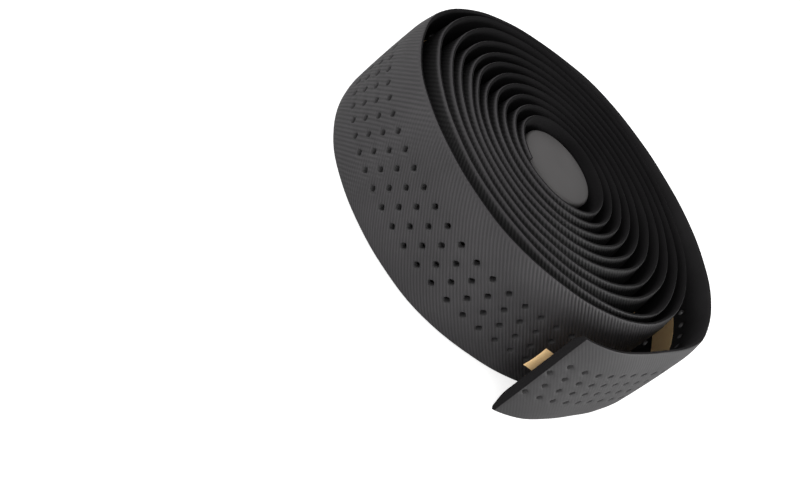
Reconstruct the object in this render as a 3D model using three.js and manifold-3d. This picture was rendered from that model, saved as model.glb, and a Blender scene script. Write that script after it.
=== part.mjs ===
// A roll of handlebar tape lying on its side: one perforated foam strip wound into a coil, the paper strip that covers
// the adhesive on its back, and the bar-end plug that is kept in its core. Millimetres, +Z up. The coil's axis is Z.
// Angles run counterclockwise seen from above, which is inwards along the strip.

import * as THREE from "three";
import { mergeVertices } from "three/addons/utils/BufferGeometryUtils.js";
import Module from "manifold-3d";

// The strip
const TAPE_WIDTH = 30;
const TAPE_THICKNESS = 2.2;
const EDGE_THICKNESS = 0.8;
const SKIVE_WIDTH = 4.5; // each edge thins towards its rim over this width

// The paper strip
const LINER_WIDTH = 7;
const LINER_THICKNESS = 0.15;
const LINER_GAP = 0.3; // to the strip's back, and to the skin of the turn inside
const LINER_TAB = 2; // it sticks out past the free end
const LIFT_LENGTH = 12; // its end lifts off the back over this length
const LIFT = 0.9;

// The coil, from its inner end outwards
const TURNS = 10.835;
const INNER_END_ANGLE = 245;
const STEPS_PER_TURN = 22;
const COIL_STEPS = Math.round(TURNS * STEPS_PER_TURN);
const LEAN = 0.2; // each outer turn lies this much further towards LEAN_ANGLE than the turn inside it
const LEAN_ANGLE = 15;
const STRAIGHT_TURNS = 3.7; // the inner turns that don't lean
const PITCH = TAPE_THICKNESS + LINER_THICKNESS + 2 * LINER_GAP + LEAN;

// How far the loose outer turns stand off the coil: one value for each LOOSE_STEP degrees inwards from the free end,
// a row for each turn
const LOOSE_STEP = 30;
const STAND_OFF = [
  9.9, 4.9, 6.4, 5.2, 2.5, 2.2, 0.2, 0.9, 3.1, 3.6, 3.3, 2.8,
  0.6, 0.7, 0.3, 0.0, 0.0, 0.0, 0.0, 0.8, 1.8, 0.6, 0.2, 0.2,
  0.5, 0.7, 0.2, 0.0, 0.0, 0.0, 0.0, 0.8, 0.9, 0.2, 0.0, 0.0,
  0.3, 0.4, 0.0, 0.0, 0.0, 0.0, 0.0, 0.8, 0.7, 0.0, 0.0, 0.0,
  0.2, 0.4, 0.0, 0.0, 0.0, 0.0, 0.0, 0.7, 0.4, 0.0, 0.0, 0.0,
  0.0, 0.0, 0.0, 0.0, 0.0, 0.0, 0.0, 0.3, 0.3, 0.0,
];

// The punched holes. Those of the outer turn are cut, and the same pattern runs on along the hidden turns.
const HOLE_DIAMETER = 1.5;
const HOLE_SIDES = 6;
const HOLE_SPACING = 4.955;
const ROW_SPACING = 4;
const ROWS = 4;
const FIRST_HOLE = 1.5; // from the free end
const PUNCHED_TURNS = 1.04;

// The bar-end plug, one moulding
const CAP_RADIUS = 10.9;
const CAP_THICKNESS = 1.8;
const CAP_ROUND = 0.7;
const CAP_RECESS = 1.4; // below the strip's edges
const PLUG_GAP = 0.3; // to the turn around it
const STEM_WALL = 1.6;
const STEM_LENGTH = 16;
const RIBS = 3;
const RIB_HEIGHT = 1.6;
const RIB_WIDTH = 1.2;
const PLUG_SEGMENTS = 32;

// What the plug and the coil share: the strip's innermost turn lies round the cap, and the ribs clear its paper
const CORE_RADIUS = CAP_RADIUS + PLUG_GAP;
const RIB_RADIUS = CORE_RADIUS - LINER_GAP - LINER_THICKNESS - PLUG_GAP;
const STEM_RADIUS = RIB_RADIUS - RIB_HEIGHT;

const wasm = await Module();
wasm.setup();

// Radius of the strip's middle, a number of turns outwards from the inner end
function coilRadius(turns) {
  const lean = LEAN * Math.max(0, turns - STRAIGHT_TURNS) * Math.cos(coilAngle(turns) - degrees(LEAN_ANGLE));
  return CORE_RADIUS + TAPE_THICKNESS / 2 + PITCH * turns + lean + standOff((TURNS - turns) * 360);
}

function coilAngle(turns) {
  return degrees(INNER_END_ANGLE) - 2 * Math.PI * turns;
}

function degrees(value) {
  return THREE.MathUtils.degToRad(value);
}

// Stand-off at an angle inwards from the free end, on a smooth curve through the values
const looseCurve = new THREE.SplineCurve(STAND_OFF.map((value, i) => new THREE.Vector2(i, value)));

function standOff(angle) {
  const place = angle / LOOSE_STEP / (STAND_OFF.length - 1);
  return looseCurve.getPoint(THREE.MathUtils.clamp(place, 0, 1)).y;
}

// The line of the coil, from the inner end outwards in even steps of angle, so that the facets of all turns lie
// parallel. `inward` is its distance from the strip's middle, and `tab` is what it runs on past the free end.
class CoilLine extends THREE.Curve {
  constructor(inward = () => 0, tab = 0) {
    super();
    Object.assign(this, { inward, tab, steps: COIL_STEPS + (tab > 0 ? 1 : 0) });
  }

  getPoint(t, target = new THREE.Vector3()) {
    const station = t * this.steps;
    const past = Math.max(0, station - COIL_STEPS) * endTurns(this.tab);
    const turns = (Math.min(station, COIL_STEPS) / COIL_STEPS) * TURNS + past;
    const radius = coilRadius(turns) - this.inward(turns);
    return target.set(radius * Math.cos(coilAngle(turns)), radius * Math.sin(coilAngle(turns)), TAPE_WIDTH / 2);
  }

  getPointAt(u, target) {
    return this.getPoint(u, target);
  }

  getTangentAt(u, target) {
    return this.getTangent(u, target);
  }
}

// Extrudes a section along a coil line. The section's x is up, and its y is towards the coil's axis.
function sweep(section, line) {
  return new THREE.ExtrudeGeometry(section, { steps: line.steps, extrudePath: line });
}

// The skived section: full thickness in the middle and thin rounded-off edges
function tapeSection() {
  const side = TAPE_WIDTH / 2;
  const shoulder = side - SKIVE_WIDTH;
  const half = TAPE_THICKNESS / 2;
  const rim = EDGE_THICKNESS / 2;
  return new THREE.Shape([
    new THREE.Vector2(-side, -rim),
    new THREE.Vector2(-side, rim),
    new THREE.Vector2(-shoulder, half),
    new THREE.Vector2(shoulder, half),
    new THREE.Vector2(side, rim),
    new THREE.Vector2(side, -rim),
    new THREE.Vector2(shoulder, -half),
    new THREE.Vector2(-shoulder, -half),
  ]);
}

function linerSection() {
  const side = LINER_WIDTH / 2;
  const half = LINER_THICKNESS / 2;
  return new THREE.Shape([
    new THREE.Vector2(-side, -half),
    new THREE.Vector2(-side, half),
    new THREE.Vector2(side, half),
    new THREE.Vector2(side, -half),
  ]);
}

// Turns that a length takes up at the free end
function endTurns(length) {
  return length / (2 * Math.PI * coilRadius(TURNS));
}

function linerInward(turns) {
  const fromEnd = (TURNS - turns) / endTurns(LIFT_LENGTH);
  const lift = LIFT * (1 - THREE.MathUtils.smoothstep(fromEnd, 0, 1));
  return TAPE_THICKNESS / 2 + LINER_GAP + LINER_THICKNESS / 2 + lift;
}

function toSolid(geometry) {
  const bare = geometry.clone();
  bare.deleteAttribute("normal");
  bare.deleteAttribute("uv");
  const merged = mergeVertices(bare);
  const vertProperties = new Float32Array(merged.attributes.position.array);
  const triVerts = new Uint32Array(merged.index.array);
  return new wasm.Manifold(new wasm.Mesh({ numProp: 3, vertProperties, triVerts }));
}

function toGeometry(solid) {
  const mesh = solid.getMesh();
  const geometry = new THREE.BufferGeometry();
  geometry.setAttribute("position", new THREE.BufferAttribute(mesh.vertProperties, 3));
  geometry.setIndex(new THREE.BufferAttribute(mesh.triVerts, 1));
  return geometry;
}

// Turns outwards from the inner end at which each column of holes lies, walked along the strip from the free end
function holePlaces() {
  const places = [];
  let turns = TURNS - endTurns(FIRST_HOLE);
  while (turns > TURNS - PUNCHED_TURNS) {
    places.push(turns);
    turns -= HOLE_SPACING / 2 / (2 * Math.PI * coilRadius(turns));
  }
  return places;
}

// One punch for each hole, square to the strip. Columns half a spacing apart hold every other row.
function punches() {
  const cuts = [];
  const middle = new CoilLine();
  const punch = new THREE.CylinderGeometry(HOLE_DIAMETER / 2, HOLE_DIAMETER / 2, 2 * TAPE_THICKNESS, HOLE_SIDES);
  holePlaces().forEach((turns, column) => {
    const radius = coilRadius(turns);
    const ahead = middle.getTangent(turns / TURNS);
    for (let row = column % 2; row < ROWS; row += 2) {
      const height = TAPE_WIDTH / 2 + (row - (ROWS - 1) / 2) * ROW_SPACING;
      const cut = punch.clone();
      cut.rotateZ(Math.atan2(ahead.y, ahead.x));
      cut.translate(radius * Math.cos(coilAngle(turns)), radius * Math.sin(coilAngle(turns)), height);
      cuts.push(toSolid(cut));
    }
  });
  return cuts;
}

function tapeGeometry() {
  const strip = toSolid(sweep(tapeSection(), new CoilLine()));
  return toGeometry(strip.subtract(wasm.Manifold.union(punches())));
}

function linerGeometry() {
  return sweep(linerSection(), new CoilLine(linerInward, LINER_TAB));
}

// Half profile of the plug, from the top of the cap down the outside and up the hollow stem
function plugProfile() {
  const top = TAPE_WIDTH - CAP_RECESS;
  const under = top - CAP_THICKNESS;
  const profile = new THREE.Path();
  profile.moveTo(0, top);
  profile.lineTo(CAP_RADIUS - CAP_ROUND, top);
  profile.absarc(CAP_RADIUS - CAP_ROUND, top - CAP_ROUND, CAP_ROUND, Math.PI / 2, 0, true);
  profile.lineTo(CAP_RADIUS, under);
  profile.lineTo(STEM_RADIUS, under);
  for (let rib = 1; rib <= RIBS; rib += 1) {
    const height = under - (rib * STEM_LENGTH) / (RIBS + 1);
    profile.lineTo(STEM_RADIUS, height + RIB_WIDTH / 2);
    profile.lineTo(RIB_RADIUS, height + RIB_WIDTH / 2);
    profile.lineTo(STEM_RADIUS, height - RIB_WIDTH / 2);
  }
  profile.lineTo(STEM_RADIUS, under - STEM_LENGTH);
  profile.lineTo(STEM_RADIUS - STEM_WALL, under - STEM_LENGTH);
  profile.lineTo(STEM_RADIUS - STEM_WALL, under);
  profile.lineTo(0, under);
  return profile.getPoints(3);
}

function plugGeometry() {
  const geometry = new THREE.LatheGeometry(plugProfile().reverse(), PLUG_SEGMENTS);
  geometry.rotateX(Math.PI / 2);
  return geometry;
}

function piece(name, geometry, material) {
  const mesh = new THREE.Mesh(geometry, new THREE.MeshStandardMaterial(material));
  mesh.name = name;
  return mesh;
}

const roll = new THREE.Group();
roll.add(
  piece("tape", tapeGeometry(), { color: 0x4b4a4c, roughness: 0.8, metalness: 0 }),
  piece("release_liner", linerGeometry(), { color: 0xf8d09a, roughness: 0.7, metalness: 0 }),
  piece("end_plug", plugGeometry(), { color: 0x605e5e, roughness: 0.45, metalness: 0 }),
);

// The origin is the middle of the rest face: the roll's box is centred over it
const box = new THREE.Box3().setFromObject(roll);
const centre = box.getCenter(new THREE.Vector3());
roll.position.set(-centre.x, -centre.y, -box.min.z);

export default roll;
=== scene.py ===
"""A roll of perforated handlebar tape, with the paper strip on its back and a plug in its core."""

import math
from bisect import bisect_right

import bmesh
import bpy
from mathutils import Matrix, Vector


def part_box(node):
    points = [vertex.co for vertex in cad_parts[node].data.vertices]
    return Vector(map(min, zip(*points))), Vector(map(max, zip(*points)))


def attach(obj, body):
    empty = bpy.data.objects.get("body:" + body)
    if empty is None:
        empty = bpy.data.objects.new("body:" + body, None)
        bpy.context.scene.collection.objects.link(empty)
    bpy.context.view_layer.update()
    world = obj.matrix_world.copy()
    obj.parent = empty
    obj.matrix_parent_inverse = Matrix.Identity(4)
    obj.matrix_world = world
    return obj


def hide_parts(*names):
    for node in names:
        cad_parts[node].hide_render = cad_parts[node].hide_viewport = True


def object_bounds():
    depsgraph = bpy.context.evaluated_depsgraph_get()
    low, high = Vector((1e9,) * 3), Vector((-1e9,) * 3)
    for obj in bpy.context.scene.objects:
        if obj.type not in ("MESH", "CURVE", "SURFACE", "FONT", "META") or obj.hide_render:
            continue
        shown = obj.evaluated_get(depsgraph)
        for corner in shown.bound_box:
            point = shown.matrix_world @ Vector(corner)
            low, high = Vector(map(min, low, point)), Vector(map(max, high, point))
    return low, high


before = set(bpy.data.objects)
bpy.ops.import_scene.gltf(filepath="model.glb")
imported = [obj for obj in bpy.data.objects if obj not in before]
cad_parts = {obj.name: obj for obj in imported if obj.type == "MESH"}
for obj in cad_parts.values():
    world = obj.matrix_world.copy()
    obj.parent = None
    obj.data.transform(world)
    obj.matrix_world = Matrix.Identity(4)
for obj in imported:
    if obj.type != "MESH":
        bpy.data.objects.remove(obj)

cad_low, cad_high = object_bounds()

# Lengths are in millimetres, apart from those of the board and the lamps, and angles are in degrees. A piece's
# mesh is brought to metres when it is put in its place.
MM = 0.001
NEAR = 0.01  # what is closer than this is at the same place

# The strip
TAPE_WIDTH = 30.0
TAPE_THICKNESS = 2.2
RIM_THICKNESS = 0.86
RIM_ROUND = 0.5  # the rims are round over this much of the width,
RIM_FLAT = math.sqrt(0.02)  # down to this share of their thickness
SKIVE_WIDTH = 5.2  # each edge thins towards its rim over this width
SKIVE_POWER = 1.3  # how hollow the thinned edge is
SKIN_STOPS = 0.1  # from the rims
BOW = 0.35  # the middle of the strip stands this far outside its edges
ROW_HEIGHTS = [
    0, 0.05, 0.2, 0.5, 1.1, 2.0, 3.1, 4.2, 5.2, 7, 9, 11, 13,
    15, 17, 19, 21, 23, 24.8, 25.8, 26.9, 28, 28.9, 29.5, 29.8, 29.95, 30,
]
COLUMNS_PER_TURN = 72
COLUMN_GAP = 1.0  # columns are no closer than this where one spacing goes over into another
STRIP_CREASE = 40.0  # edges sharper than this are shaded as sharp
CORNER_ANGLE = 60.0  # edges sharper than this are the corners of a cut

# The cut ends
END_SOFT = 0.15  # how far their corners are rounded,
END_SOFT_STOPS = 0.1  # up to this far from the rims, which are too thin for it
END_REACH = 0.3  # faces closer to an end than this belong to its rounded corners
END_SHORT = 1.25  # the free end's cut isn't square: its lower corner is this much short,
END_SKEW = 1.8  # and its upper corner reaches this much further than the lower one
END_SLANT = 0.6  # it also slants, so that the back reaches further than the skin
END_FADE = 12.0  # the columns are even again this far from the free end
END_FLAT = 50.0  # over this length towards the free end the skin turns flat, and only the back is skived

# The coil, from its inner end outwards
TURNS = 10.835
PITCH = 3.15
INNER_END_ANGLE = 245.0
LEAN = 0.2  # the turns grow by this much more on one side,
LEAN_ANGLE = 15.0  # which is at this angle,
STRAIGHT_TURNS = 3.7  # outside this many turns
LINE_STEPS_PER_TURN = 720
LINE_PAST_END = 0.02  # turns that the line runs on past the free end, for the paper's tab

# How far the loose outer turns stand off the coil, at each LOOSE_STEP degrees inwards from the free end: a row
# for each turn
LOOSE_STEP = 30.0
STAND_OFF = [
    9.9, 4.9, 6.4, 5.2, 2.5, 2.2, 0.2, 0.9, 3.1, 3.6, 3.3, 2.8,
    0.6, 0.7, 0.3, 0.0, 0.0, 0.0, 0.0, 0.8, 1.8, 0.6, 0.2, 0.2,
    0.5, 0.7, 0.2, 0.0, 0.0, 0.0, 0.0, 0.8, 0.9, 0.2, 0.0, 0.0,
    0.3, 0.4, 0.0, 0.0, 0.0, 0.0, 0.0, 0.8, 0.7, 0.0, 0.0, 0.0,
    0.2, 0.4, 0.0, 0.0, 0.0, 0.0, 0.0, 0.7, 0.4, 0.0, 0.0, 0.0,
    0.0, 0.0, 0.0, 0.0, 0.0, 0.0, 0.0, 0.3, 0.3, 0.0,
]

# How far the upper rims of the crowded turns are pressed outwards, at the same places
RIM_PUSH = [
    0.0, 0.0, 0.0, 0.0, 0.0, 0.0, 0.0, 0.0, 0.0, 0.0, 0.0, 0.0,
    0.3, 0.0, 0.0, 0.0, 0.0, 0.3, 1.0, 2.0, 0.3, 0.0, 0.0, 0.0,
    0.2, 1.3, 0.2, 0.0, 0.0, 0.2, 0.8, 1.6, 0.0, -0.6, -0.3, 0.0,
    0.0, 0.0, 0.0, 0.0, 0.0, 0.2, 0.5, 0.3, 0.0, -0.5, -0.3, 0.0,
    0.0, 0.0, 0.0, 0.0, 0.0, 0.0, 0.3, 0.0, 0.0, -0.6, -0.4, 0.0,
    -0.2, -0.4, -0.2, 0.0, 0.0, 0.0, -0.2, 0.0, 0.2, -0.3, -0.2, 0.0,
]
RIM_PUSH_POWER = 6  # how fast it fades downwards
RIM_SHIFT = 0.45  # the inner turns' rims lie this much further towards -X,
SHIFTED_TURNS = 6.0  # outwards up to this many turns
INNER_TUCK = 0.8  # the inner end's upper corner is tucked outwards, away from the plug,
TUCK_LENGTH = 20.0  # over this length

# The strip lies a little above the board and wanders up and down, and its thin edges wander in and out: height,
# length and start of each wave
RISE = 0.15
RISE_WAVES = [(0.09, 83, 0.3), (0.06, 37, 1.9)]
EDGE_WAVES = [(0.07, 23, 0), (0.05, 13.3, 2.1)]

# The punched holes, in staggered rows along the outer turn
HOLE_RADIUS = 0.76
HOLE_SOFT = 0.4
HOLE_COLUMN = 2.4775
FIRST_HOLE = 1.5
HOLE_ROWS = [9, 13, 17, 21]
HOLE_DROP = 0.8  # the rows of holes wander down by this much,
DROP_START = 60.0  # from here
DROP_LENGTH = 140.0  # over this length along the strip
PUNCHED_TURNS = 1.04
UNPUNCHED_RIM = 1.0  # no hole comes this close to the rims,
UNPUNCHED_END = 0.1  # or this close to the ends

# The paper
LINER_HEIGHTS = [11.5, 11.6, 13.2, 15, 16.8, 18.4, 18.5]
LINER_THICKNESS = 0.14
LINER_GAP = 0.06
LINER_TAB = 0.5  # how far it sticks out past the free end
LIFT = 2.4  # its end has come away from the strip by this much,
LIFT_LENGTH = 12.0  # over this length,
LIFTED_COLUMNS = [-LINER_TAB, 0, 1, 2, 3, 4.5, 6, 8, 10, LIFT_LENGTH]
CURL = 0.3  # and its corners by this much more

# The plug
CAP_THICKNESS = 1.8
CAP_ROUND = 0.8
CAP_DOME = 0.2
CAP_RINGS = 4
PLUG_GAP = 0.3
PLUG_STEPS = 96
PLUG_SOFT = 0.15
PLUG_CREASE = 50.0
STEM_WALL = 1.6
STEM_LENGTH = 16.0
STEM_CLEARANCE = 0.75  # the ribs stay this far inside the innermost turn
RIBS = 3
RIB_HEIGHT = 1.6
RIB_WIDTH = 1.2

# The patterns' real sizes
CLOSE_RIBS = 0.77  # from rib to rib
WIDE_RIBS = 1.05
RIBS_TURN = 45.0
RIBS_DEEP = 0.11
SKIN_GRAIN = 0.33
SKIN_PATCH = 14.0
BACK_CELL = 0.4
BACK_PATCH = 8.0
FOAM_CELL = 0.25
FIBRE = (2.0, 0.25)  # a paper fibre's length and breadth
ADHESIVE_GRAIN = 0.5
PLASTIC_GRAIN = 0.3
PLASTIC_PATCH = 7.0

# Where the surfaces change, as places along the strip or up it
SKIN_SHADE_FROM = (325.0, 345.0)  # the skin of the outer turn keeps its grey, and from here inwards it is painted nearly black, as the shade between the turns,
RIM_HIGHLIGHT_FROM = (29.2, 29.7)  # apart from its upper rims, which are painted lighter, as a highlight
BACK_SHADE_FROM = (130.0, 200.0)  # the back of the loose end is lighter, and from here inwards it is painted darker, as the shade between the turns
RIBS_FULL_FROM = (60.0, 130.0)  # ahead of here, towards the free end, the ribs are pressed flatter,
FLATTEST_RIBS = 0.2  # to this share of their depth
INNER_RIBS = 0.6  # the share that they keep on the inner turns, whose skin is painted dark as shade

# Sides of the roll where the surfaces differ: the way that a surface faces there, and the cosines of the angles
# from that way that the change lies between
# The upper rims' painted highlight lies on the side that faces this way, towards the light
HIGHLIGHT_SIDE = (-0.82, -0.57, 0.0)
HIGHLIGHT_COSINES = (-0.3, 0.3)
CLOSE_RIBS_SIDE = (0.342, -0.94, 0.0)
CLOSE_RIBS_COSINES = (0.48, 0.7)
CLOSE_RIBS_SHARES = (0.06, 0.95)  # how much of the pattern the close ribs make up before and after the change

# Colours, and pairs of a darker and a lighter one
# The skin's grey, painted darker in the grooves between the ribs as shade
SKIN_SHADED_GROOVES = ("#313031", "#3F3D3F")
SKIN_PATCHES = ("#E2E2E2", "#FFFFFF")
# The inner turns' skin is painted this near-black, as the shade between the turns
SHADED_INNER_SKIN = "#0F0E0F"
# A painted highlight on the upper rims, on the side that faces the light
SKIN_RIM_HIGHLIGHT = "#363436"
# The back's colours: lighter on the loose end, and painted darker on the inner turns as the shade between them
LOOSE_END_BACK = ("#232223", "#282728")
SHADED_INNER_BACK = ("#131213", "#171617")
FOAM_BLACK = ("#0F0E0F", "#181718")
FOAM_GREY = ("#363536", "#403F40")
KRAFT_CREAM = ("#F8CE94", "#FFDBA4")
# The adhesive is painted dark, as the shade at the bottom of the holes
ADHESIVE_SHADE = ("#262526", "#2E2D2E")
PLASTIC_GREY = ("#514F4F", "#575555")
BOARD_WHITE = "#F2F2F2"
WHITE_LIGHT = (1, 1, 1, 1)
WHOLE = (0.0, 1.0)
MOST_NOISE = (0.3, 0.7)  # nearly all of a noise's values lie between these
PLASTIC_ROUGHNESS = (0.42, 0.55)

# The stage: the board and the lamps in metres, the camera in millimetres
FLOOR_REACH = 3.0
FLOOR_LIFT = 0.7
AMBIENT = 0.38
LAMPS = [
    # name, direction from the roll, distance, size, power in watts
    ("key softbox", (0.95, 0.08, 0.23), 0.7, 0.35, 4.4),
    ("fill softbox", (-0.75, -0.2, 0.33), 0.8, 0.6, 3.5),
    ("low softbox", (0.4, -0.9, 0.1), 0.8, 0.4, 2.2),
    ("front softbox", (-0.1, -0.85, 0.45), 0.8, 0.4, 1.5),
]
CAMERA_ELEVATION = 30.27
CAMERA_ROLL = 51.81
CAMERA_DISTANCE = 400.0
CAMERA_ASIDE = (38.95, 19.39)  # the camera's line of sight passes the roll's axis this far to its left and below
CAMERA_CLIP = 0.01
FOCAL_PIXELS = 1675.11
PICTURE_WIDTH = 800
SENSOR_WIDTH = 36.0

plug_low, plug_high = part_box("end_plug")
AXIS = (plug_low + plug_high) / 2 / MM
CAP_RADIUS = (plug_high.x - plug_low.x) / 2 / MM
CAP_TOP = plug_high.z / MM
CORE_RADIUS = CAP_RADIUS + PLUG_GAP


# The line of the coil

def smooth_value(values, place):
    """The value at a place in a list, on a smooth curve through its values."""
    place = min(max(place, 0), len(values) - 1)
    first = min(int(place), len(values) - 2)
    t = place - first
    a, b, c, d = (values[min(max(first + k, 0), len(values) - 1)] for k in (-1, 0, 1, 2))
    b_slope = (c - a) / 2
    c_slope = (d - b) / 2
    square = 3 * (c - b) - 2 * b_slope - c_slope
    cube = 2 * (b - c) + b_slope + c_slope
    return b + t * b_slope + t**2 * square + t**3 * cube


def by_turn(values, turned):
    """The value of a list with a row for each turn, at a number of turns inwards from the free end."""
    return smooth_value(values, turned * 360 / LOOSE_STEP)


def share_of(value):
    return min(max(value, 0), 1)


def coil_point(turns):
    """A point of the strip's middle line, a number of turns outwards from the inner end."""
    angle = math.radians(INNER_END_ANGLE - 360 * turns)
    lean = LEAN * max(0, turns - STRAIGHT_TURNS) * math.cos(angle - math.radians(LEAN_ANGLE))
    stand_off = by_turn(STAND_OFF, TURNS - turns)
    radius = CORE_RADIUS + TAPE_THICKNESS / 2 + PITCH * turns + lean + stand_off
    return Vector((AXIS.x + radius * math.cos(angle), AXIS.y + radius * math.sin(angle)))


def walk(points):
    """How far along a line each of its points is."""
    places = [0.0]
    for before, after in zip(points, points[1:]):
        places.append(places[-1] + (after - before).length)
    return places


# The strip's middle line from past the free end inwards, and how far along it each point is
LINE_STEPS = round((TURNS + LINE_PAST_END) * LINE_STEPS_PER_TURN)
LINE = [coil_point(TURNS + LINE_PAST_END - k / LINE_STEPS_PER_TURN) for k in range(LINE_STEPS + 1)]
WALKED = walk(LINE)


def walked_at(turns):
    """How far along the line a number of turns outwards from the inner end is."""
    step = min((TURNS + LINE_PAST_END - turns) * LINE_STEPS_PER_TURN, LINE_STEPS)
    first = min(int(step), LINE_STEPS - 1)
    return WALKED[first] + (step - first) * (WALKED[first + 1] - WALKED[first])


FREE_END = walked_at(TURNS)
TAPE_LENGTH = WALKED[-1] - FREE_END


def place_of(turns):
    """Place along the strip, from its free end, of a number of turns outwards from the inner end."""
    return walked_at(turns) - FREE_END


def step_at(along):
    """The step of the line at a place along the strip, and the share of the next step that it is past it."""
    walked = along + FREE_END
    step = min(max(bisect_right(WALKED, walked) - 1, 1), LINE_STEPS - 2)
    return step, (walked - WALKED[step]) / (WALKED[step + 1] - WALKED[step])


def turned_at(along):
    """Turns inwards from the free end, at a place along the strip."""
    return sum(step_at(along)) / LINE_STEPS_PER_TURN - LINE_PAST_END


def on_coil(along, outward, height):
    """A point of the wound strip, in metres: along it from the free end, outside its middle line, and up."""
    step, share = step_at(along)
    here = LINE[step + 1] - LINE[step - 1]
    ahead = here.lerp(LINE[step + 2] - LINE[step], share).normalized()
    middle = LINE[step].lerp(LINE[step + 1], share)
    return Vector((middle.x + outward * ahead.y, middle.y - outward * ahead.x, height)) * MM


def waves(along, parts):
    """A slow unevenness along the strip."""
    return sum(height * math.sin(2 * math.pi * along / length + start) for height, length, start in parts)


def up_strip(height):
    """-1 at the strip's lower rim, 0 in its middle and 1 at its upper rim."""
    return 2 * height / TAPE_WIDTH - 1


def half_thickness(height):
    """Half the strip's thickness at a height: thin and round at its rims, full in the middle."""
    from_rim = min(height, TAPE_WIDTH - height)
    rising = math.sin(share_of(from_rim / SKIVE_WIDTH) * math.pi / 2) ** SKIVE_POWER
    full = RIM_THICKNESS + (TAPE_THICKNESS - RIM_THICKNESS) * rising
    rounded = max(math.sqrt(1 - (1 - share_of(from_rim / RIM_ROUND)) ** 2), RIM_FLAT)
    return full / 2 * rounded


def rim_push(along, height):
    """How far outwards the strip is pressed, the more the nearer to its upper rim."""
    turned = turned_at(along)
    crowded = by_turn(RIM_PUSH, turned)
    inner = share_of(SHIFTED_TURNS - TURNS + turned)
    shift = RIM_SHIFT * math.cos(math.radians(INNER_END_ANGLE - 360 * (TURNS - turned)))
    tuck = INNER_TUCK * max(0, 1 - (TAPE_LENGTH - along) / TUCK_LENGTH) ** 2
    return (crowded - inner * shift + tuck) * (height / TAPE_WIDTH) ** RIM_PUSH_POWER


def middle_at(along, height):
    """How far outside the coil's line the middle of the strip's thickness lies."""
    flat = max(0, 1 - along / END_FLAT) ** 2
    bow = BOW * (1 - up_strip(height) ** 2)
    back_only = RIM_THICKNESS / 2 - half_thickness(height)
    return rim_push(along, height) + bow + flat * (back_only - bow)


def rise(along):
    """How far the strip wanders up at a place along it."""
    return RISE + waves(along, RISE_WAVES)


def drop(along, height):
    """How far the rows of holes wander down: nothing at the rims."""
    return HOLE_DROP * share_of((along - DROP_START) / DROP_LENGTH) * (1 - up_strip(height) ** 4)


# Meshes

def flat_strip(columns, heights):
    """A flat sheet with its columns along X and its rows along Y."""
    mesh = bmesh.new()
    across, up = len(columns) - 1, len(heights) - 1
    bmesh.ops.create_grid(mesh, x_segments=across, y_segments=up, size=1)
    for vert in mesh.verts:
        column = round((vert.co.x + 1) / 2 * across)
        row = round((vert.co.y + 1) / 2 * up)
        vert.co = (columns[column], heights[row], 0)
    return mesh


def even_columns(past):
    """Columns at even steps of angle, from past a place along the strip to its inner end."""
    steps = int(TURNS * COLUMNS_PER_TURN)
    places = [place_of(step / COLUMNS_PER_TURN) for step in range(steps, -1, -1)]
    return [place for place in places if place > past + COLUMN_GAP]


def keep_flat_places(mesh):
    """Keeps each corner's place on the flat strip, in millimetres, for the patterns that follow the strip."""
    layer = mesh.loops.layers.uv.new("strip")
    for face in mesh.faces:
        for loop in face.loops:
            loop[layer].uv = loop.vert.co.xy


def corner_edges(mesh, wanted):
    """The edges between a face and a cut wall, where the middle of the edge is as wanted."""
    found = []
    for edge in mesh.edges:
        middle = (edge.verts[0].co + edge.verts[1].co) / 2
        if edge.calc_face_angle(0) > math.radians(CORNER_ANGLE) and wanted(middle):
            found.append(edge)
    return found


def soften(mesh, wanted, width, segments=2):
    """Rounds the corners that are as wanted."""
    bmesh.ops.bevel(
        mesh, geom=corner_edges(mesh, wanted), offset=width, offset_type="OFFSET", segments=segments,
        profile=0.5, affect="EDGES", clamp_overlap=True, material=-1,
    )
    mesh.normal_update()


def shade(mesh, sharp_angle):
    """Smooth shading, apart from edges sharper than an angle."""
    for face in mesh.faces:
        face.smooth = True
    for edge in mesh.edges:
        edge.smooth = edge.calc_face_angle(0) < math.radians(sharp_angle)


def make_piece(name, mesh, materials, node):
    """Makes a finished piece of a mesh that is in its place, in metres, and stands it for its CAD node."""
    data = bpy.data.meshes.new(name)
    mesh.to_mesh(data)
    mesh.free()
    for material in materials:
        data.materials.append(material)
    piece = bpy.data.objects.new(name, data)
    bpy.context.scene.collection.objects.link(piece)
    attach(piece, "root")
    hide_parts(node)
    return piece


# The tape. Its faces are the embossed skin, the smooth back, the foam where it is cut, and the holes' walls.

SKIN, BACK, CUT, PUNCHED = range(4)
SLOPED = 0.99  # on the flat strip, a face whose normal rises less than this is a part of a rounded corner,
STEEP = 0.4  # and one whose normal rises less than this is a wall


def hole_columns():
    """Places along the strip where the holes' columns are."""
    columns = [FIRST_HOLE]
    while columns[-1] < place_of(TURNS - PUNCHED_TURNS):
        columns.append(columns[-1] + HOLE_COLUMN)
    return columns


def tape_columns():
    """Every column of holes, and then even steps of angle to the inner end."""
    holes = hole_columns()
    return [0] + holes + even_columns(holes[-1])


def nearest_crossing(point):
    """The column and row of holes whose crossing is nearest, and that crossing."""
    column = round((point.x - FIRST_HOLE) / HOLE_COLUMN)
    row = min(range(len(HOLE_ROWS)), key=lambda k: abs(HOLE_ROWS[k] - point.y))
    return column, row, Vector((FIRST_HOLE + column * HOLE_COLUMN, HOLE_ROWS[row], 0))


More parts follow.
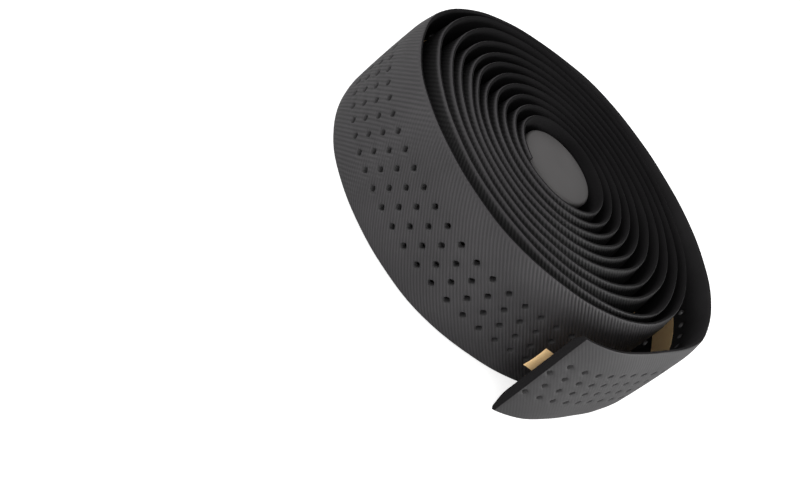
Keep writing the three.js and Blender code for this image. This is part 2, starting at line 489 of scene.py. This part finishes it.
def punch_holes(mesh):
    """Opens a round hole at every other crossing of the holes' columns and rows."""
    last = hole_columns()[-1]
    centres = []
    for vert in mesh.verts:
        column, row, crossing = nearest_crossing(vert.co)
        at_crossing = (vert.co - crossing).length < NEAR
        in_reach = 0 <= column and vert.co.x < last + COLUMN_GAP
        if at_crossing and in_reach and (column + row) % 2 == 0:
            centres.append(vert)
    opened = bmesh.ops.bevel(
        mesh, geom=centres, offset=HOLE_RADIUS, offset_type="OFFSET", segments=3, profile=0.5,
        affect="VERTICES", material=-1,
    )
    inside = set(opened["faces"])
    for vert in opened["verts"]:
        if not inside.issuperset(vert.link_faces):
            crossing = nearest_crossing(vert.co)[2]
            vert.co = crossing + (vert.co - crossing).normalized() * HOLE_RADIUS
    bmesh.ops.delete(mesh, geom=opened["faces"], context="FACES")


def off_rims(point, gap):
    return gap < point.y < TAPE_WIDTH - gap


def off_ends(point, gap):
    return gap < point.x < TAPE_LENGTH - gap


def at_hole(point):
    return off_rims(point, UNPUNCHED_RIM) and off_ends(point, UNPUNCHED_END)


def at_cut_end(point):
    return off_rims(point, END_SOFT_STOPS) and not off_ends(point, NEAR)


def surface_of(face):
    """The skin ends at the rims, and goes over the edges of the holes."""
    middle = face.calc_center_median()
    in_strip = off_rims(middle, UNPUNCHED_RIM) and off_ends(middle, END_REACH)
    if abs(face.normal.z) < SLOPED and not in_strip:
        return CUT
    if abs(face.normal.z) < STEEP:
        return PUNCHED
    return SKIN if face.normal.z > 0 and off_rims(middle, SKIN_STOPS) else BACK


def wind_tape(mesh):
    """Cuts the free end to its shape, thins the strip's edges and winds it."""
    for vert in mesh.verts:
        along, height, depth = vert.co
        short = END_SHORT - END_SKEW * height / TAPE_WIDTH + END_SLANT * depth / TAPE_THICKNESS
        along += short * max(0, 1 - along / END_FADE)
        side = 1 + 2 * depth / TAPE_THICKNESS
        half = half_thickness(height)
        thinned = 1 - half / (TAPE_THICKNESS / 2)
        outward = middle_at(along, height) + side * half + thinned * waves(along, EDGE_WAVES)
        vert.co = on_coil(along, outward, height + rise(along) - drop(along, height))


def tape(materials):
    """The perforated strip, wound into its roll."""
    mesh = flat_strip(tape_columns(), ROW_HEIGHTS)
    punch_holes(mesh)
    bmesh.ops.solidify(mesh, geom=mesh.faces[:], thickness=TAPE_THICKNESS)
    mesh.normal_update()
    soften(mesh, at_hole, HOLE_SOFT)
    soften(mesh, at_cut_end, END_SOFT)
    for face in mesh.faces:
        face.material_index = surface_of(face)
    keep_flat_places(mesh)
    wind_tape(mesh)
    shade(mesh, STRIP_CREASE)
    return make_piece("wound_tape", mesh, materials, "tape")


# The paper on the back of the strip, whose end has come away

PAPER, ADHESIVE = range(2)


def wind_liner(mesh):
    """Lays the paper on the back of the wound strip, and lifts and curls its end."""
    half_width = (LINER_HEIGHTS[-1] - LINER_HEIGHTS[0]) / 2
    for vert in mesh.verts:
        along, height, depth = vert.co
        share = share_of(along / LIFT_LENGTH)
        lifted = 1 - share * share * (3 - 2 * share)
        curl = CURL * ((height - TAPE_WIDTH / 2) / half_width) ** 2
        inward = TAPE_THICKNESS / 2 + LINER_GAP + lifted * (LIFT + curl) - middle_at(along, height)
        vert.co = on_coil(along, depth - inward, height + rise(along))


def liner(materials):
    """The paper, with the adhesive on the face that is stuck to the strip."""
    mesh = flat_strip(LIFTED_COLUMNS + even_columns(LIFT_LENGTH), LINER_HEIGHTS)
    bmesh.ops.solidify(mesh, geom=mesh.faces[:], thickness=LINER_THICKNESS)
    mesh.normal_update()
    for face in mesh.faces:
        stuck = face.normal.z > STEEP and face.calc_center_median().x > LIFT_LENGTH
        face.material_index = ADHESIVE if stuck else PAPER
    keep_flat_places(mesh)
    wind_liner(mesh)
    mesh.normal_update()
    shade(mesh, STRIP_CREASE)
    return make_piece("paper_strip", mesh, materials, "release_liner")


# The plug

def plug_profile():
    """Radius and height of each corner, from the middle of the cap down the outside and up the hollow stem."""
    under = CAP_TOP - CAP_THICKNESS
    end = under - STEM_LENGTH
    stem = CORE_RADIUS - STEM_CLEARANCE - RIB_HEIGHT
    hollow = stem - STEM_WALL
    shares = [ring / CAP_RINGS for ring in range(CAP_RINGS + 1)]
    outside = [(share * CAP_RADIUS, CAP_TOP - CAP_DOME * share**2) for share in shares]
    outside += [(CAP_RADIUS, under), (stem, under)]
    for rib in range(1, RIBS + 1):
        middle = under - rib * STEM_LENGTH / (RIBS + 1)
        top, bottom = middle + RIB_WIDTH / 2, middle - RIB_WIDTH / 2
        outside += [(stem, top), (stem + RIB_HEIGHT, top), (stem, bottom)]
    return outside + [(stem, end), (hollow, end), (hollow, under), (0, under)]


def at_cap_edge(point):
    return abs(point.z - CAP_TOP + CAP_DOME) < NEAR


def under_cap_edge(point):
    return point.z < CAP_TOP - CAP_ROUND


def plug(materials):
    """The plug with its domed cap and its hollow, barbed stem."""
    mesh = bmesh.new()
    profile = plug_profile()
    corners = [mesh.verts.new((AXIS.x + radius, AXIS.y, height)) for radius, height in profile]
    edges = [mesh.edges.new(pair) for pair in zip(corners, corners[1:])]
    bmesh.ops.spin(
        mesh, geom=corners + edges, cent=(AXIS.x, AXIS.y, 0), axis=(0, 0, 1), angle=2 * math.pi,
        steps=PLUG_STEPS, use_merge=True,
    )
    bmesh.ops.remove_doubles(mesh, verts=mesh.verts[:], dist=0.001)
    bmesh.ops.recalc_face_normals(mesh, faces=mesh.faces[:])
    soften(mesh, at_cap_edge, CAP_ROUND, segments=6)
    soften(mesh, under_cap_edge, PLUG_SOFT)
    bmesh.ops.scale(mesh, vec=(MM, MM, MM), verts=mesh.verts[:])
    shade(mesh, PLUG_CREASE)
    return make_piece("bar_end_plug", mesh, materials, "end_plug")


# Nodes

def linear(hex_colour):
    """An sRGB hex colour as linear RGBA."""
    parts = [int(hex_colour[k:k + 2], 16) / 255 for k in (1, 3, 5)]
    return [p / 12.92 if p <= 0.04045 else ((p + 0.055) / 1.055) ** 2.4 for p in parts] + [1]


def add(tree, kind, inputs=(), **settings):
    """Adds a node with its settings. Its inputs are given by name or number, each as a value or a socket."""
    node = tree.nodes.new("ShaderNode" + kind)
    for name, value in settings.items():
        setattr(node, name, value)
    for name, value in dict(inputs).items():
        if isinstance(value, bpy.types.NodeSocket):
            tree.links.new(value, node.inputs[name])
        else:
            node.inputs[name].default_value = value
    return node


def flat_place(tree):
    """The place on the flat strip, in millimetres."""
    return add(tree, "UVMap", uv_map="strip").outputs["UV"]


def solid_place(tree):
    """The place in the roll, in metres."""
    return add(tree, "TexCoord").outputs["Object"]


def facing(tree, way):
    """The cosine of the angle between the way that the surface faces and another way."""
    normal = add(tree, "NewGeometry").outputs["Normal"]
    return add(tree, "VectorMath", {0: normal, 1: way}, operation="DOT_PRODUCT").outputs["Value"]


def noise(tree, place, size, detail=2.0):
    """Cloudy noise with features of a size, in the unit of the place."""
    return add(tree, "TexNoise", {"Vector": place, "Scale": 1 / size, "Detail": detail}).outputs["Fac"]


def cells(tree, place, size):
    """Distance from the middle of the nearest cell, for cells of a size in the unit of the place."""
    return add(tree, "TexVoronoi", {"Vector": place, "Scale": 1 / size}).outputs["Distance"]


def bands(tree, place, spacing, direction):
    """Slightly uneven bands across a direction. At a scale of 1 they come pi / 10 apart."""
    uneven = {"Distortion": 1.0, "Detail": 1.0, "Detail Scale": 0.4}
    inputs = {"Vector": place, "Scale": math.pi / 10 / spacing, **uneven}
    return add(tree, "TexWave", inputs, bands_direction=direction).outputs["Fac"]


def between(tree, value, ends, results=WHOLE):
    """Goes from the first result to the second while the value goes from the first end to the second."""
    node = add(tree, "MapRange", {
        "Value": value, "From Min": ends[0], "From Max": ends[1], "To Min": results[0], "To Max": results[1],
    })
    return node.outputs["Result"]


def product(tree, first, second):
    return add(tree, "Math", {0: first, 1: second}, operation="MULTIPLY").outputs[0]


def mixed(tree, share, first, second):
    """A mix of two values, with the second one's share."""
    return add(tree, "Mix", {"Factor": share, 2: first, 3: second}).outputs[0]


def mixed_colours(tree, share, first, second, blend_type="MIX"):
    """A mix of two colours, with the second one's share."""
    inputs = {"Factor": share, 6: first, 7: second}
    return add(tree, "Mix", inputs, data_type="RGBA", blend_type=blend_type).outputs[2]


def tones(tree, value, colours, ends=MOST_NOISE):
    """Goes from the first colour to the second while the value goes from the first end to the second."""
    node = add(tree, "ValToRGB", {"Fac": value})
    for element, end, colour in zip(node.color_ramp.elements, ends, colours):
        element.position = end
        element.color = linear(colour)
    return node.outputs["Color"]


def bump(tree, height, strength, depth, under=None):
    """Bumps with a depth in millimetres, on top of those under them."""
    inputs = {"Height": height, "Strength": strength, "Distance": depth * MM}
    if under is not None:
        inputs["Normal"] = under
    return add(tree, "Bump", inputs).outputs["Normal"]


# Materials

def new_material(name):
    """A material with an empty tree, and its tree."""
    material = bpy.data.materials.new(name)
    material.use_nodes = True
    material.node_tree.nodes.clear()
    return material, material.node_tree


def finish_material(tree, inputs):
    """Ends the tree with a surface that has these inputs."""
    surface = add(tree, "BsdfPrincipled", inputs)
    add(tree, "OutputMaterial", {"Surface": surface.outputs["BSDF"]})


def embossed_skin():
    """Polyurethane skin on foam, dry and dark, heat-embossed with two families of fine ribs that cross. Shade is
    painted into the grooves between the ribs and over the inner turns, and a highlight along the upper rims on
    the lit side.
    """
    material, tree = new_material("embossed polyurethane skin")
    place = flat_place(tree)
    parts = add(tree, "SeparateXYZ", {"Vector": place})
    along, height = parts.outputs["X"], parts.outputs["Y"]
    # inner: the share of painted shade over the inner turns' skin
    inner = between(tree, along, SKIN_SHADE_FROM)
    turned = add(tree, "Mapping", {"Vector": place, "Rotation": (0, 0, math.radians(RIBS_TURN))})
    close = bands(tree, turned.outputs["Vector"], CLOSE_RIBS, "Y")
    wide = bands(tree, turned.outputs["Vector"], WIDE_RIBS, "X")
    close_share = between(tree, facing(tree, CLOSE_RIBS_SIDE), CLOSE_RIBS_COSINES, CLOSE_RIBS_SHARES)
    depth = mixed(tree, inner, between(tree, along, RIBS_FULL_FROM, (FLATTEST_RIBS, 1.0)), INNER_RIBS)
    ribs = product(tree, mixed(tree, close_share, wide, close), depth)
    # The grooves between the ribs are painted darker, as shade
    ribbed = tones(tree, ribs, SKIN_SHADED_GROOVES, (0.1, 0.9))
    patches = tones(tree, noise(tree, place, SKIN_PATCH, 3.0), SKIN_PATCHES)
    outer_colour = mixed_colours(tree, 1.0, ribbed, patches, "MULTIPLY")
    # The inner turns are painted nearly black, as the shade between them
    shaded_skin = mixed_colours(tree, inner, outer_colour, linear(SHADED_INNER_SKIN))
    # A painted highlight on the upper rims, on the side that faces the light
    lit_side = between(tree, facing(tree, HIGHLIGHT_SIDE), HIGHLIGHT_COSINES)
    rim_highlight = product(tree, between(tree, height, RIM_HIGHLIGHT_FROM), lit_side)
    grain = bump(tree, noise(tree, place, SKIN_GRAIN), strength=0.3, depth=0.03)
    finish_material(tree, {
        "Base Color": mixed_colours(tree, rim_highlight, shaded_skin, linear(SKIN_RIM_HIGHLIGHT)),
        "Roughness": 0.62,
        "Specular IOR Level": 0.35,
        "Normal": bump(tree, ribs, strength=1.0, depth=RIBS_DEEP, under=grain),
    })
    return material


def smooth_back():
    """The closed-cell foam's own smooth face on the back of the strip: black, dull, with faint shallow cells. It
    is painted darker on the inner turns, as the shade between them.
    """
    material, tree = new_material("closed-cell foam back")
    place = solid_place(tree)
    patches = noise(tree, place, BACK_PATCH * MM, 4.0)
    along = add(tree, "SeparateXYZ", {"Vector": flat_place(tree)}).outputs["X"]
    # inner: the share of painted shade over the inner turns' back
    inner = between(tree, along, BACK_SHADE_FROM)
    outer_colour, shaded_back = tones(tree, patches, LOOSE_END_BACK), tones(tree, patches, SHADED_INNER_BACK)
    finish_material(tree, {
        "Base Color": mixed_colours(tree, inner, outer_colour, shaded_back),
        "Roughness": 0.85,
        "Specular IOR Level": 0.1,
        "Normal": bump(tree, cells(tree, place, BACK_CELL * MM), strength=0.25, depth=0.04),
    })
    return material


def cut_foam():
    """The foam where it was cut: black, with open cells about a quarter of a millimetre across."""
    material, tree = new_material("cut foam")
    open_cells = cells(tree, solid_place(tree), FOAM_CELL * MM)
    finish_material(tree, {
        "Base Color": tones(tree, open_cells, FOAM_BLACK, (0.1, 0.6)),
        "Roughness": 0.9,
        "Specular IOR Level": 0.15,
        "Normal": bump(tree, open_cells, strength=0.6, depth=0.06),
    })
    return material


def punched_foam():
    """The holes' walls: foam pressed smooth by the punch, greyer than the cut ends."""
    material, tree = new_material("punched foam")
    grain = noise(tree, solid_place(tree), FOAM_CELL * MM)
    finish_material(tree, {
        "Base Color": tones(tree, grain, FOAM_GREY),
        "Roughness": 0.8,
        "Normal": bump(tree, grain, strength=0.3, depth=0.05),
    })
    return material


def siliconed_paper():
    """Kraft release paper with a silicone coat: warm cream, fibres along the strip, a little gloss."""
    material, tree = new_material("siliconed kraft paper")
    drawn = add(tree, "Mapping", {"Vector": flat_place(tree), "Scale": (1 / FIBRE[0], 1 / FIBRE[1], 1.0)})
    fibres = noise(tree, drawn.outputs["Vector"], 1.0, 5.0)
    finish_material(tree, {
        "Base Color": tones(tree, fibres, KRAFT_CREAM),
        "Roughness": 0.45,
        "Normal": bump(tree, fibres, strength=0.4, depth=0.08),
    })
    return material


def adhesive():
    """Acrylic adhesive, a little wet, painted dark as the shade at the bottom of the holes. It shows at the
    bottom of the holes only.
    """
    material, tree = new_material("acrylic adhesive")
    grain = noise(tree, solid_place(tree), ADHESIVE_GRAIN * MM)
    finish_material(tree, {
        "Base Color": tones(tree, grain, ADHESIVE_SHADE),
        "Roughness": 0.5,
        "Normal": bump(tree, grain, strength=0.3, depth=0.03),
    })
    return material


def moulded_plastic():
    """Polyethylene moulded in a finely eroded tool: satin grey with a fine even grain."""
    material, tree = new_material("moulded polyethylene")
    place = solid_place(tree)
    patches = noise(tree, place, PLASTIC_PATCH * MM, 3.0)
    finish_material(tree, {
        "Base Color": tones(tree, patches, PLASTIC_GREY),
        "Roughness": between(tree, patches, WHOLE, PLASTIC_ROUGHNESS),
        "Normal": bump(tree, noise(tree, place, PLASTIC_GRAIN * MM), strength=0.35, depth=0.03),
    })
    return material


def studio_floor():
    """Matt white board. Seen by the camera it is lifted to white, and keeps the roll's shadow."""
    material, tree = new_material("matt white board")
    camera_ray = add(tree, "LightPath").outputs["Is Camera Ray"]
    finish_material(tree, {
        "Base Color": linear(BOARD_WHITE),
        "Roughness": 0.9,
        "Emission Color": WHITE_LIGHT,
        "Emission Strength": product(tree, camera_ray, FLOOR_LIFT),
    })
    return material


# The stage

def floor():
    """The board that the roll lies on."""
    mesh = bmesh.new()
    bmesh.ops.create_grid(mesh, x_segments=1, y_segments=1, size=FLOOR_REACH)
    data = bpy.data.meshes.new("studio_floor")
    mesh.to_mesh(data)
    mesh.free()
    data.materials.append(studio_floor())
    board = bpy.data.objects.new("studio_floor", data)
    bpy.context.scene.collection.objects.link(board)


def lamps():
    """Softboxes that face the middle of the roll."""
    middle = (cad_low + cad_high) / 2
    for name, direction, distance, size, power in LAMPS:
        data = bpy.data.lights.new(name, "AREA")
        data.size = size
        data.energy = power
        lamp = bpy.data.objects.new(name, data)
        back = Vector(direction).normalized()
        lamp.location = middle + back * distance
        lamp.rotation_euler = back.to_track_quat("Z", "Y").to_euler()
        bpy.context.scene.collection.objects.link(lamp)


def surroundings():
    """An even white room: plain light on the roll, and white where a camera sees it."""
    world = bpy.data.worlds.new("white room")
    world.use_nodes = True
    world.node_tree.nodes.clear()
    tree = world.node_tree
    camera_ray = add(tree, "LightPath").outputs["Is Camera Ray"]
    strength = between(tree, camera_ray, WHOLE, (AMBIENT, 1.0))
    light = add(tree, "Background", {"Color": WHITE_LIGHT, "Strength": strength})
    add(tree, "OutputWorld", {"Surface": light.outputs["Background"]})
    bpy.context.scene.world = world


def camera():
    """Looks down past the roll's axis, turned about its line of sight."""
    data = bpy.data.cameras.new("camera")
    data.sensor_width = SENSOR_WIDTH
    data.lens = SENSOR_WIDTH * FOCAL_PIXELS / PICTURE_WIDTH
    data.clip_start = CAMERA_CLIP
    elevation, roll = math.radians(CAMERA_ELEVATION), math.radians(CAMERA_ROLL)
    back = Vector((0, -math.cos(elevation), math.sin(elevation)))
    level_right = Vector((1, 0, 0))
    level_up = back.cross(level_right)
    right = math.cos(roll) * level_right + math.sin(roll) * level_up
    up = -math.sin(roll) * level_right + math.cos(roll) * level_up
    aim = Vector((AXIS.x, AXIS.y, TAPE_WIDTH))
    place = (aim + back * CAMERA_DISTANCE - right * CAMERA_ASIDE[0] - up * CAMERA_ASIDE[1]) * MM
    eye = bpy.data.objects.new("camera", data)
    eye.matrix_world = Matrix.Translation(place) @ Matrix((right, up, back)).transposed().to_4x4()
    bpy.context.scene.collection.objects.link(eye)
    bpy.context.scene.camera = eye


def main():
    wound = tape([embossed_skin(), smooth_back(), cut_foam(), punched_foam()])
    liner([siliconed_paper(), adhesive()])
    plug([moulded_plastic()])
    floor()
    lamps()
    surroundings()
    camera()
    bpy.context.scene.view_settings.view_transform = "Standard"


main()
